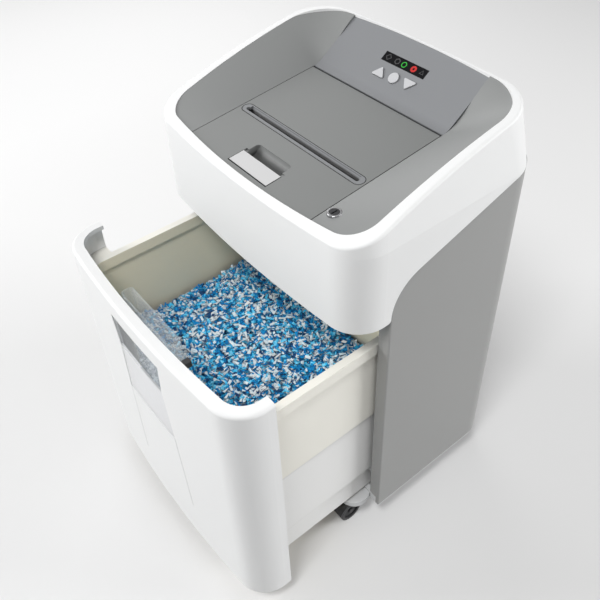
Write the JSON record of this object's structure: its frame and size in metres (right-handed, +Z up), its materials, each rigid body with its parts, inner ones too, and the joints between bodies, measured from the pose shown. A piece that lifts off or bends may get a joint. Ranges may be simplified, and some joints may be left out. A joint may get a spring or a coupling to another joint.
{
  "type": "paper shredder",
  "caption": "Office paper shredder with an automatic feed tray under a slotted lid, hooked cutter block, pull-out waste drawer with window, and swivel casters.",
  "frame": {"origin": "on the floor, under the middle of the machine with its drawer pulled out as in the picture", "axes": "+Z up, +X to the right of a person who faces the front, front towards -Y"},
  "size_m": [0.43, 0.4956, 0.679],
  "materials": {
    "white_plastic": "fine moulded satin",
    "bin_plastic": "smooth moulded",
    "grey_steel": "satin powder coat",
    "grey_plastic": "fine moulded texture",
    "base_plastic": "moulded",
    "black_plastic": "satin moulded",
    "latch_plastic": "smooth moulded",
    "button_plastic": "smooth",
    "display_plastic": "polished",
    "clear_plastic": "clear",
    "frosted_plastic": "frosted",
    "paper_shreds": "loose shreds",
    "sheet_steel": "zinc plated",
    "cutter_steel": "oiled",
    "bush_brass": "turned",
    "gear_plastic": "moulded",
    "roller_rubber": "matte",
    "motor_black": "satin",
    "board_green": "coated",
    "lock_chrome": "polished",
    "wheel_plastic": "satin"
  },
  "bodies": {
    "cabinet": {"head_cover": "white_plastic", "left_side_panel": "grey_steel", "right_side_panel": "grey_steel", "back_panel": "grey_steel", "base_frame": "base_plastic", "deck_plate": "sheet_steel", "left_cutter_plate": "sheet_steel", "right_cutter_plate": "sheet_steel", "tie_rods": "sheet_steel", "shaft_bushes": "bush_brass", "gear_axles": "sheet_steel", "front_stripper_comb": "cutter_steel", "rear_stripper_comb": "cutter_steel", "motor": "motor_black", "paper_tray": "black_plastic", "top_bezel": "grey_plastic", "lid_hinge_pins": "sheet_steel", "lock_barrel": "lock_chrome", "control_panel": "grey_plastic", "display_window": "display_plastic", "control_board": "board_green", "left_runner": "sheet_steel", "right_runner": "sheet_steel", "mains_inlet": "black_plastic", "panel_screws": "sheet_steel"},
    "drawer": {"drawer_front": "white_plastic", "sight_window": "clear_plastic", "window_skirt": "frosted_plastic", "waste_bin": "bin_plastic", "shredded_paper": "paper_shreds", "card_tray": "clear_plastic", "tray_clip": "black_plastic"},
    "lid": {"lid_panel": "grey_plastic", "feed_throat": "grey_plastic"},
    "latch": {"lid_latch": "latch_plastic"},
    "key": {"key_cylinder": "lock_chrome"},
    "reverse": {"reverse_button": "button_plastic"},
    "power": {"power_button": "button_plastic"},
    "forward": {"forward_button": "button_plastic"},
    "rocker": {"power_rocker": "black_plastic"},
    "front_left_caster": {"front_left_caster_body": "black_plastic"},
    "front_left_wheels": {"front_left_caster_wheels": "wheel_plastic"},
    "front_right_caster": {"front_right_caster_body": "black_plastic"},
    "front_right_wheels": {"front_right_caster_wheels": "wheel_plastic"},
    "rear_left_caster": {"rear_left_caster_body": "black_plastic"},
    "rear_left_wheels": {"rear_left_caster_wheels": "wheel_plastic"},
    "rear_right_caster": {"rear_right_caster_body": "black_plastic"},
    "rear_right_wheels": {"rear_right_caster_wheels": "wheel_plastic"},
    "front_cutter_shaft": {"front_cutter": "cutter_steel"},
    "rear_cutter_shaft": {"rear_cutter": "cutter_steel"},
    "front_feed_roller_body": {"front_feed_roller": "roller_rubber"},
    "rear_feed_roller_body": {"rear_feed_roller": "roller_rubber"},
    "front_feed_idler_body": {"front_feed_idler": "gear_plastic"},
    "rear_feed_idler_body": {"rear_feed_idler": "gear_plastic"},
    "reduction_gear_body": {"reduction_gear": "gear_plastic"},
    "motor_pinion_body": {"motor_pinion": "cutter_steel"}
  },
  "joints": [
    {"name": "drawer_slide", "type": "slide", "parent": "cabinet", "child": "drawer", "axis": [0, 1, 0], "range_m": [-0.025, 0.175]},
    {"name": "lid_hinge", "type": "hinge", "parent": "cabinet", "child": "lid", "pos_m": [0, 0.15496, 0.61959], "axis": [-1, 0, 0], "range_deg": [0, 80]},
    {"name": "latch_slide", "type": "slide", "parent": "lid", "child": "latch", "axis": [0, 0.994, 0.1097], "range_m": [0, 0.005], "stiffness_N_per_m": 400, "springref_m": -0.001},
    {"name": "key_turn", "type": "hinge", "parent": "cabinet", "child": "key", "pos_m": [0.138, -0.0285, 0.6], "axis": [0, 0, 1], "range_deg": [0, 90]},
    {"name": "reverse_press", "type": "slide", "parent": "cabinet", "child": "reverse", "axis": [0, 0.5761, -0.8174], "range_m": [0, 0.0008], "stiffness_N_per_m": 900, "springref_m": -0.0003},
    {"name": "power_press", "type": "slide", "parent": "cabinet", "child": "power", "axis": [0, 0.5761, -0.8174], "range_m": [0, 0.0008], "stiffness_N_per_m": 900, "springref_m": -0.0003},
    {"name": "forward_press", "type": "slide", "parent": "cabinet", "child": "forward", "axis": [0, 0.5761, -0.8174], "range_m": [0, 0.0008], "stiffness_N_per_m": 900, "springref_m": -0.0003},
    {"name": "rocker_tilt", "type": "hinge", "parent": "cabinet", "child": "rocker", "pos_m": [-0.058, 0.243, 0.53], "axis": [1, 0, 0], "range_deg": [-6, 6]},
    {"name": "front_left_swivel", "type": "hinge", "parent": "cabinet", "child": "front_left_caster", "pos_m": [-0.17, -0.0165, 0.04], "axis": [0, 0, 1], "continuous": true},
    {"name": "front_left_spin", "type": "hinge", "parent": "front_left_caster", "child": "front_left_wheels", "pos_m": [-0.17, -0.0325, 0.02], "axis": [1, 0, 0], "continuous": true},
    {"name": "front_right_swivel", "type": "hinge", "parent": "cabinet", "child": "front_right_caster", "pos_m": [0.17, -0.0165, 0.04], "axis": [0, 0, 1], "continuous": true},
    {"name": "front_right_spin", "type": "hinge", "parent": "front_right_caster", "child": "front_right_wheels", "pos_m": [0.17, -0.0325, 0.02], "axis": [1, 0, 0], "continuous": true},
    {"name": "rear_left_swivel", "type": "hinge", "parent": "cabinet", "child": "rear_left_caster", "pos_m": [-0.17, 0.2095, 0.04], "axis": [0, 0, 1], "continuous": true},
    {"name": "rear_left_spin", "type": "hinge", "parent": "rear_left_caster", "child": "rear_left_wheels", "pos_m": [-0.17, 0.2255, 0.02], "axis": [1, 0, 0], "continuous": true},
    {"name": "rear_right_swivel", "type": "hinge", "parent": "cabinet", "child": "rear_right_caster", "pos_m": [0.17, 0.2095, 0.04], "axis": [0, 0, 1], "continuous": true},
    {"name": "rear_right_spin", "type": "hinge", "parent": "rear_right_caster", "child": "rear_right_wheels", "pos_m": [0.17, 0.2255, 0.02], "axis": [1, 0, 0], "continuous": true},
    {"name": "front_cutter_spin", "type": "hinge", "parent": "cabinet", "child": "front_cutter_shaft", "pos_m": [0, 0.0115, 0.53], "axis": [1, 0, 0], "continuous": true},
    {"name": "rear_cutter_spin", "type": "hinge", "parent": "cabinet", "child": "rear_cutter_shaft", "pos_m": [0, 0.0515, 0.53], "axis": [1, 0, 0], "continuous": true},
    {"name": "front_feed_idler_spin", "type": "hinge", "parent": "cabinet", "child": "front_feed_idler_body", "pos_m": [0, -0.0005, 0.546], "axis": [1, 0, 0], "continuous": true},
    {"name": "rear_feed_idler_spin", "type": "hinge", "parent": "cabinet", "child": "rear_feed_idler_body", "pos_m": [0, 0.0635, 0.546], "axis": [1, 0, 0], "continuous": true},
    {"name": "front_feed_roller_spin", "type": "hinge", "parent": "cabinet", "child": "front_feed_roller_body", "pos_m": [0, -0.0125, 0.562], "axis": [1, 0, 0], "continuous": true},
    {"name": "rear_feed_roller_spin", "type": "hinge", "parent": "cabinet", "child": "rear_feed_roller_body", "pos_m": [0, 0.0755, 0.562], "axis": [1, 0, 0], "continuous": true},
    {"name": "reduction_gear_spin", "type": "hinge", "parent": "cabinet", "child": "reduction_gear_body", "pos_m": [0, 0.09807, 0.54161], "axis": [1, 0, 0], "continuous": true},
    {"name": "motor_pinion_spin", "type": "hinge", "parent": "cabinet", "child": "motor_pinion_body", "pos_m": [0, 0.14008, 0.52549], "axis": [1, 0, 0], "continuous": true}
  ],
  "couplings": [
    {"joint": "rear_cutter_spin", "follows": "front_cutter_spin", "ratio": -1},
    {"joint": "front_feed_idler_spin", "follows": "front_cutter_spin", "ratio": -1},
    {"joint": "front_feed_roller_spin", "follows": "front_cutter_spin", "ratio": 1},
    {"joint": "rear_feed_idler_spin", "follows": "front_cutter_spin", "ratio": 1},
    {"joint": "rear_feed_roller_spin", "follows": "front_cutter_spin", "ratio": -1},
    {"joint": "reduction_gear_spin", "follows": "front_cutter_spin", "ratio": 3},
    {"joint": "motor_pinion_spin", "follows": "front_cutter_spin", "ratio": -12}
  ]
}
